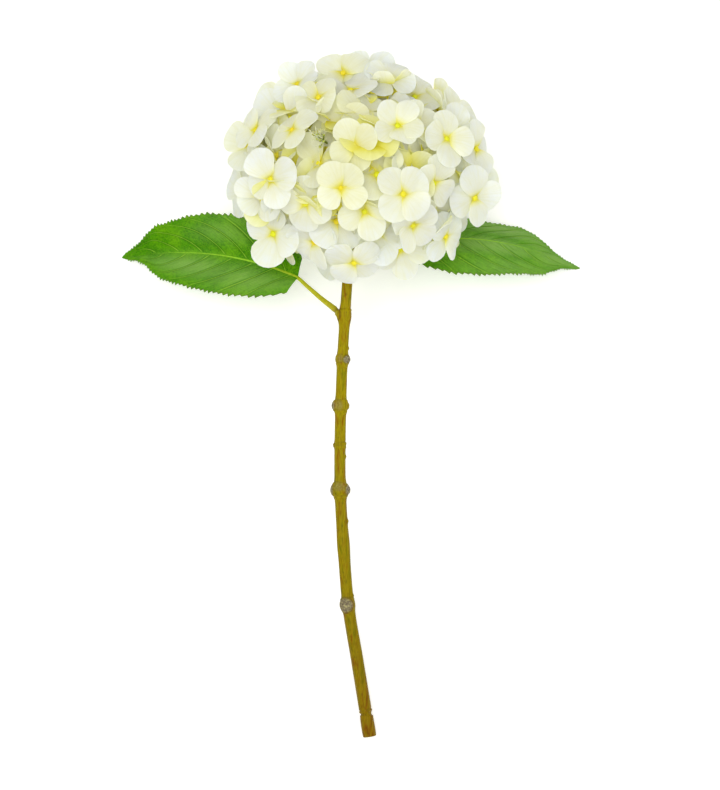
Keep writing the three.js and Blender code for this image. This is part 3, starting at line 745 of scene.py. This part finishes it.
# Points of the leaves as the frame has them, which the florets keep clear of
def leafSamples():
    s, v = np.meshgrid(np.arange(0, 1, 0.04), np.arange(-1, 1.01, 0.25), indexing="ij")
    s, v = s.ravel(), v.ravel()
    out = np.abs(v)
    along = alongBlade(s, out)
    swelling = -np.cos(math.tau * 8 * s) * np.sin(math.pi * np.minimum(out, 0.95))
    found = []
    for leaf in leaves.values():
        found.append(np.array(leaf["petiole"], float))
        found.append(bladeSheet(leaf, s, v, 0, 0.7 * swelling * bladeWidth(along))[0])
    return np.vstack(found)


def clearOfLeaves(points, gap):
    return norm(points[:, None] - leafPoints[None], axis=2).min() > gap


def layered(group):
    for site in group:
        site["layer"] = 0
    places = np.array([site["place"] for site in group])
    for _ in range(head["passes"]):
        for i, site in enumerate(group):
            gap = norm(places - places[i], axis=1)
            used = [0.0] * len(head["layers"])
            for j in np.nonzero(gap < head["reach"])[0]:
                if j != i:
                    used[group[j]["layer"]] += (1 - gap[j] / head["reach"]) ** 2
            site["layer"] = used.index(min(used))
    for site in group:
        site["place"] = site["place"] + site["out"] * head["layers"][site["layer"]]


leafPoints = leafSamples()
resting = {
    "place": -upward * lying["headHeight"], "out": -upward,
    "spin": 0.6, "size": 1, "sepals": 4, "curls": [0] * 5,
}
sites = [s for s in outerSites() if norm(s["place"] - resting["place"]) > head["restingRoom"]]
layered(sites)
sites = [s for s in sites if clearOfLeaves(rimPoints(s), head["leafClearance"])]
for site in sites:
    sunk = head["rimAbove"] - aboveTable(rimPoints(site)).min()
    site["place"] = site["place"] + upward * max(sunk, 0)
sites.append(resting)
print("outer florets", len(sites))

# Smaller, creamier florets fill the depth between the outer ones; the creamier colour of the deepest is
# partly painted shade
filler = {"depths": (0.93, 1.05), "cup": (-3, 4), "leafGap": 5, "low": 4}
fillings = {
    "middle": {"count": 150, "share": 0.95, "turn": 2.9, "seed": 6203, "sizes": (0.85, 1.02),
               "openAngle": 2.45, "mostTilt": 0.5, "room": 20, "under": 5},
    "inner": {"count": 96, "share": 0.74, "turn": 0.4, "seed": 4127, "sizes": (0.74, 0.95),
              "openAngle": 2.5, "mostTilt": 0.7, "room": 16, "under": 12},
    "heart": {"count": 44, "share": 0.52, "turn": 1.7, "seed": 2911, "sizes": (0.7, 0.85),
              "openAngle": 2.5, "mostTilt": 0.6, "room": 16, "under": 12},
}
# A gap between the florets, where the stalks and fertile flowers show
hollow = {"at": np.array([-23.0, 17.0, 67.0]), "radius": 15, "floor": 48, "buds": 12}


def inHollow(place):
    return place[2] > hollow["floor"] and norm((place - hollow["at"])[:2]) < hollow["radius"]


def fillingSites(filling):
    draw = drawsFrom(filling["seed"])
    found = []
    for i in range(filling["count"]):
        ball, reach = spiralStep(i, filling["count"], filling["turn"])
        out = unit(ball / head["halfSize"])
        site = {
            "place": ball * head["halfSize"] * filling["share"] * draw(*filler["depths"]),
            "out": unit(out + leanOf(out, filling["mostTilt"], draw)), "spin": draw(0, math.tau),
            "size": draw(*filling["sizes"]), "sepals": 4, "curls": [draw(*filler["cup"]) for _ in range(5)],
        }
        # one that would push through an outer floret is set back behind it
        for other in sites:
            gap = site["place"] - other["place"]
            level = gap @ other["out"]
            if level > -filling["under"] and norm(gap - other["out"] * level) < filling["room"]:
                site["place"] = site["place"] - other["out"] * (level + filling["under"])
        rim = rimPoints(site)
        if aboveTable(rim).min() < filler["low"] or inHollow(site["place"]):
            continue
        if math.acos(ball[1]) < filling["openAngle"] and clearOfLeaves(rim, filler["leafGap"]):
            found.append(site)
    return found


filled = {name: fillingSites(filling) for name, filling in fillings.items()}
print("filling florets", {name: len(group) for name, group in filled.items()})

sepal = {
    "columns": 5, "rows": 5, "thickness": 0.45, "halfWidth": 10.3, "foot": 0.6, "footWidth": 0.6,
    "cup": (-1.4, 3.0), "roll": (-3.8, 3.8), "bow": (-1.4, 3.0), "ripple": (0.1, 0.6),
    "rise": (2.0, 9.0), "riseShare": 0.42, "lengths": (0.92, 1.12), "widths": (0.94, 1.22),
    "fiveWidth": 0.88, "askew": 0.2, "overlap": 0.6, "midFold": 0.15, "low": 1.0,
    "pressed": (4, 34), "closing": (4, 7), "closingShare": 0.25, "tones": (0.3, 1.0),
    "creamAt": np.array([-10, 15, 78]), "creamReach": 52, "creamShare": 0.85,
}

# One flat sheet, made round, that every sepal is a bent copy of
sheet, flat = flatSheet("sepalSheet", sepal["columns"], sepal["rows"])
for vertex, (x, y, z) in zip(sheet.data.vertices, flat):
    vertex.co.xy = x * math.sqrt(1 - y * y / 2), y * math.sqrt(1 - x * x / 2)
bpy.ops.object.mode_set(mode="EDIT")
bpy.ops.mesh.select_all(action="SELECT")
bpy.ops.transform.translate(value=(0, 1, 0))
bpy.ops.transform.resize(value=(sepal["halfWidth"], 0.5, 1), center_override=(0, 0, 0))
bpy.ops.object.mode_set(mode="OBJECT")
giveWall(sheet, sepal["thickness"], -1)
sepalSheet, sepalFaces = takeShape(sheet)


def bentSepal(site, k, closing, tone, draw):
    across, other, out = frameOf(site["out"])
    step = math.tau / site["sepals"]
    length = head["sepalLength"] * site["size"] * draw(*sepal["lengths"])
    width = site["size"] * draw(*sepal["widths"]) * (sepal["fiveWidth"] if site["sepals"] == 5 else 1)
    cup, roll, bow, ripple = [draw(*sepal[key]) for key in ("cup", "roll", "bow", "ripple")]
    phase, waves = draw(0, math.tau), 3 + int(draw(0, 3))
    rise = draw(*sepal["rise"]) if draw() < sepal["riseShare"] else draw(-1, 1)
    askew = draw(-sepal["askew"], sepal["askew"])
    tone = np.clip(tone + draw(-0.1, 0.1), 0, 1)
    # the nearer a floret lies to the table, the flatter it is pressed
    free = smooth(aboveTable(site["place"]), *sepal["pressed"])
    cup, roll, bow, ripple, rise, closing = [free * bend for bend in (cup, roll, bow, ripple, rise, closing)]
    x, share, wall = sepalSheet.T
    wide = x / sepal["halfWidth"]
    sideways = x * (sepal["footWidth"] + (1 - sepal["footWidth"]) * smooth(share, -0.05, 0.6)) * width
    outward = sepal["foot"] + share * (length - sepal["foot"])
    edge = np.clip(np.hypot(wide, 2 * share - 1), 0, 1)
    flutter = ripple * edge ** 3 * np.sin(waves * np.arctan2(wide, 2 * share - 1) + phase)
    height = ((site["curls"][k] + rise + closing) * share ** 1.4 + cup * wide ** 2 * share
              + roll * wide * smooth(share, 0.1, 0.9) + bow * np.sin(math.pi * share) + flutter
              - sepal["midFold"] * bell(x, 1.4) * np.sin(math.pi * share))
    # every second one starts a little higher, so that neighbours overlap, and one that rises keeps its length
    height = height + (sepal["overlap"] if k % 2 else 0) * (1 - share)
    outward = outward - 0.5 * np.abs(height) * share * np.minimum(np.abs(height) / length, 0.6)
    turn = k * step + site["spin"] + askew
    radial = across * math.cos(turn) + other * math.sin(turn)
    tangent = -across * math.sin(turn) + other * math.cos(turn)
    places = (site["place"] + outward[:, None] * radial + sideways[:, None] * tangent
              + (height + wall)[:, None] * out)
    # the yellow of the base reaches further out on a creamier one
    along = share * (0.68 + 0.42 * tone)
    return places, {"along": along, "fan": np.arctan2(sideways, outward + 2), "tone": np.full(len(x), tone)}


def makeSepals(name, group, seed, material, *nodes):
    draw = drawsFrom(seed)
    copies = []
    for site in group:
        closing = draw(*sepal["closing"]) if draw() < sepal["closingShare"] else 0
        # creamier towards the middle of the side that faces up
        away = norm(site["place"] - sepal["creamAt"])
        cream = sepal["creamShare"] * bell(away, sepal["creamReach"])
        tone = draw(*sepal["tones"]) * (1 - cream)
        copies += [bentSepal(site, k, closing, tone, draw) for k in range(site["sepals"])]
    finishPiece(joinCopies(name, copies, sepalFaces, sepal["low"]), material, "sepal", 40, *nodes)


makeSepals("outerSepals", sites, 3319, whiteSepal, "bloom")
makeSepals("middleSepals", filled["middle"], 7001, ivorySepal)
makeSepals("innerSepals", filled["inner"] + filled["heart"], 5507, creamSepal)

bead = {
    "radius": 2.2, "height": 1.7, "segments": 8, "rings": 6, "lobes": 0.05, "dimple": 0.35, "seed": 911,
    "above": 0.5, "restingAbove": -1.4, "low": 0.5,
}
seedBud = {
    "radius": 1.15, "height": 1.25, "segments": 6, "rings": 4, "lobes": 0, "dimple": 0.2, "seed": 377,
    "low": 0.5,
}


# A round bud with four faint lobes and a dimple on top, for copies to be made of
def modelBud(bud):
    bpy.ops.object.select_all(action="DESELECT")
    bpy.ops.mesh.primitive_uv_sphere_add(
        segments=bud["segments"], ring_count=bud["rings"], radius=bud["radius"])
    ball = bpy.context.object
    top = max(v.co.z for v in ball.data.vertices)
    for vertex in ball.data.vertices:
        vertex.select = vertex.co.z > top - 1e-4
        lobe = 1 + bud["lobes"] * math.cos(4 * math.atan2(vertex.co.y, vertex.co.x))
        vertex.co.x *= lobe
        vertex.co.y *= lobe
    bpy.ops.object.mode_set(mode="EDIT")
    bpy.ops.mesh.select_mode(type="VERT")
    bpy.ops.transform.translate(value=(0, 0, -bud["dimple"]))
    bpy.ops.mesh.select_all(action="SELECT")
    bpy.ops.transform.resize(value=(1, 1, bud["height"] / bud["radius"]), center_override=(0, 0, 0))
    bpy.ops.object.mode_set(mode="OBJECT")
    places, faces = takeShape(ball)
    return places, sorted(faces)  # a sphere's faces come in no fixed order


def makeBuds(name, bud, spots, material, slot):
    draw = drawsFrom(bud["seed"])
    shape, shapeFaces = modelBud(bud)
    along = shape[:, 2] / (2 * bud["height"]) + 0.5
    copies = []
    for place, out, size in spots:
        placed = place + shape @ frameOf(out) * size * draw(0.9, 1.1)
        copies.append((placed, {"along": along, "tone": np.full(len(shape), draw())}))
    finishPiece(joinCopies(name, copies, shapeFaces, bud["low"]), material, slot, 60)


allSites = sites + filled["middle"] + filled["inner"] + filled["heart"]
eyes = []
for site in allSites:
    above = bead["restingAbove" if site is resting else "above"]
    eyes.append((site["place"] + site["out"] * above, site["out"], site["size"]))
makeBuds("floretBeads", bead, eyes, yellowBud, "sepal")

growth = {
    "rays": 9, "descent": 1.45, "fork": 26, "twigShare": 0.55, "bendRoom": 10, "cluster": 4, "seed": 1613,
    "tuftSpread": 0.55, "tuftBuds": 5, "tuftLength": (5, 11),
    "threads": 4, "threadSpread": 0.9, "threadLength": (3, 6),
    # how thick each kind is from its foot to its end
    "ray": [2.1, 1.6, 1.6], "twig": [1.3, 1.0, 1.1], "stalk": [0.8, 0.75, 0.75, 1.1],
    "tuft": [0.5, 0.35, 0.35], "thread": [0.2, 0.16, 0.22], "gapTwig": [1.4, 1.0, 0.8],
}


stalks, threads, seedBuds = [], [], []


# Stalks or threads: each strand is a list of places with a radius for each
def makeStrands(name, strands, sides, material, slot):
    curve = bpy.data.curves.new(name, "CURVE")
    curve.dimensions = "3D"
    curve.bevel_depth = 0.001
    curve.bevel_resolution = sides
    curve.use_fill_caps = True
    for points, radii in strands:
        route = curveThrough(points, 4)[0]
        spline = curve.splines.new("POLY")
        spline.points.add(len(route) - 1)
        width = np.interp(np.linspace(0, 1, len(route)), np.linspace(0, 1, len(radii)), radii)
        for point, place, radius in zip(spline.points, laidDown(route), width):
            point.co = (*place, 1)
            point.radius = radius
    selectOnly(addObject(name, curve))
    bpy.ops.object.convert(target="MESH")
    piece = bpy.context.object
    piece.name = piece.data.name = name
    finishPiece(piece, material, slot, 60)


def anyWay(draw):
    return np.array([draw(-1, 1) for _ in range(3)])


# Fertile flowers at the end of a twig: a seed bud on each thin stalk, with a spray of threads
def addTuft(twig, aim, count, draw):
    for _ in range(count):
        lean = anyWay(draw) * growth["tuftSpread"]
        out = unit(aim + lean)
        tip = twig + out * draw(*growth["tuftLength"])
        stalks.append(([twig, (twig + tip) / 2 + lean, tip], growth["tuft"]))
        seedBuds.append((tip, out, draw(0.8, 1.15)))
        for _ in range(growth["threads"]):
            spray = unit(out + anyWay(draw) * growth["threadSpread"])
            end = tip + spray * draw(*growth["threadLength"])
            threads.append(([tip, (tip + end) / 2, end], growth["thread"]))


# The stem forks into rays, those into twigs, and each twig carries four florets and a tuft of seed buds
draw = drawsFrom(growth["seed"])
root = np.array(stem["points"][0], float)
rays = range(growth["rays"])
directions = np.array([spiralStep(i, len(rays), descent=growth["descent"])[0] for i in rays])
aims = unit(np.array([site["place"] for site in allSites]) - head["hub"])
nearest = np.argmax(aims @ directions.T, axis=1)
for r, direction in enumerate(directions):
    left = [allSites[i] for i in np.nonzero(nearest == r)[0]]
    fork = head["hub"] + direction * growth["fork"]
    stalks.append(([root, (root + fork) / 2 + direction * 2, fork], growth["ray"]))
    while left:
        first = max(left, key=lambda site: norm(site["place"] - fork))
        left.sort(key=lambda site: norm(site["place"] - first["place"]))
        cluster, left = left[:growth["cluster"]], left[growth["cluster"]:]
        middle = np.mean([site["place"] for site in cluster], axis=0)
        twig = fork + (middle - fork) * growth["twigShare"]
        stalks.append(([fork, (fork + twig) / 2 + direction, twig], growth["twig"]))
        for site in cluster:
            foot = site["place"] - site["out"] * 0.4
            bendAt = foot - site["out"] * min(growth["bendRoom"], 0.4 * norm(foot - twig))
            stalks.append(([twig, (twig + bendAt) / 2, bendAt, foot], growth["stalk"]))
        addTuft(twig, unit(middle - fork), growth["tuftBuds"], draw)
stalks.append(([head["hub"], hollow["at"] / 2, hollow["at"]], growth["gapTwig"]))
addTuft(hollow["at"], unit(hollow["at"]), hollow["buds"], draw)
makeStrands("floretStalks", stalks, 1, greenStalk, "stem")
makeStrands("stamenThreads", threads, 0, paleThread, "sepal")
makeBuds("seedBuds", seedBud, seedBuds, paleBud, "sepal")

studio = {
    "floorSize": 8, "floor": "#FAFAF8", "floorGlow": 0.25, "world": white, "worldStrength": 0.66,
    "keyLight": {"place": [-350, 200, 2300], "aim": [0, -130, 0], "size": 1.3, "power": 26},
    "fillLight": {"place": [700, -500, 1900], "aim": [0, -130, 0], "size": 1.6, "power": 7},
    "camera": {"place": [2.1, -60, 2500], "aim": [2.1, -158.9, 0], "frameHeight": 553},
}

# A light table of opal acrylic: matt white, and faintly lit from below
opalTable, add = newMaterial("opalAcrylicTable")
tableSkin = add("BsdfPrincipled", {
    "Base Color": studio["floor"], "Roughness": 0.9, "Specular IOR Level": 0.0,
    "Emission Color": studio["floor"], "Emission Strength": studio["floorGlow"]})
add("OutputMaterial", {"Surface": tableSkin})
bpy.ops.object.select_all(action="DESELECT")
bpy.ops.mesh.primitive_plane_add(size=studio["floorSize"])
table = bpy.context.object
table.name = "table"
table.data.materials.append(opalTable)

world = bpy.data.worlds.new("studio")
bpy.context.scene.world = world
world.use_nodes = True
background = world.node_tree.nodes["Background"]
background.inputs[0].default_value = linear(studio["world"])
background.inputs[1].default_value = studio["worldStrength"]


# Puts a lamp or the camera at its place, aimed, and gives how far off its aim is
def setUp(thing, spec):
    thing.location = laidDown(spec["place"])
    sight = Vector(laidDown(spec["aim"])) - thing.location
    thing.rotation_euler = sight.to_track_quat("-Z", "Y").to_euler()
    return sight.length


for name in ("keyLight", "fillLight"):
    lamp = bpy.data.lights.new(name, "AREA")
    lamp.shape = "SQUARE"
    lamp.size = studio[name]["size"]
    lamp.energy = studio[name]["power"]
    setUp(addObject(name, lamp), studio[name])

cameraData = bpy.data.cameras.new("camera")
camera = addObject("camera", cameraData)
reach = setUp(camera, studio["camera"])
cameraData.sensor_width = 36
cameraData.lens = cameraData.sensor_width * reach / (studio["camera"]["frameHeight"] / 1000)
cameraData.clip_end = 50
bpy.context.scene.camera = camera
bpy.context.scene.view_settings.view_transform = "Standard"
print("studio ready")
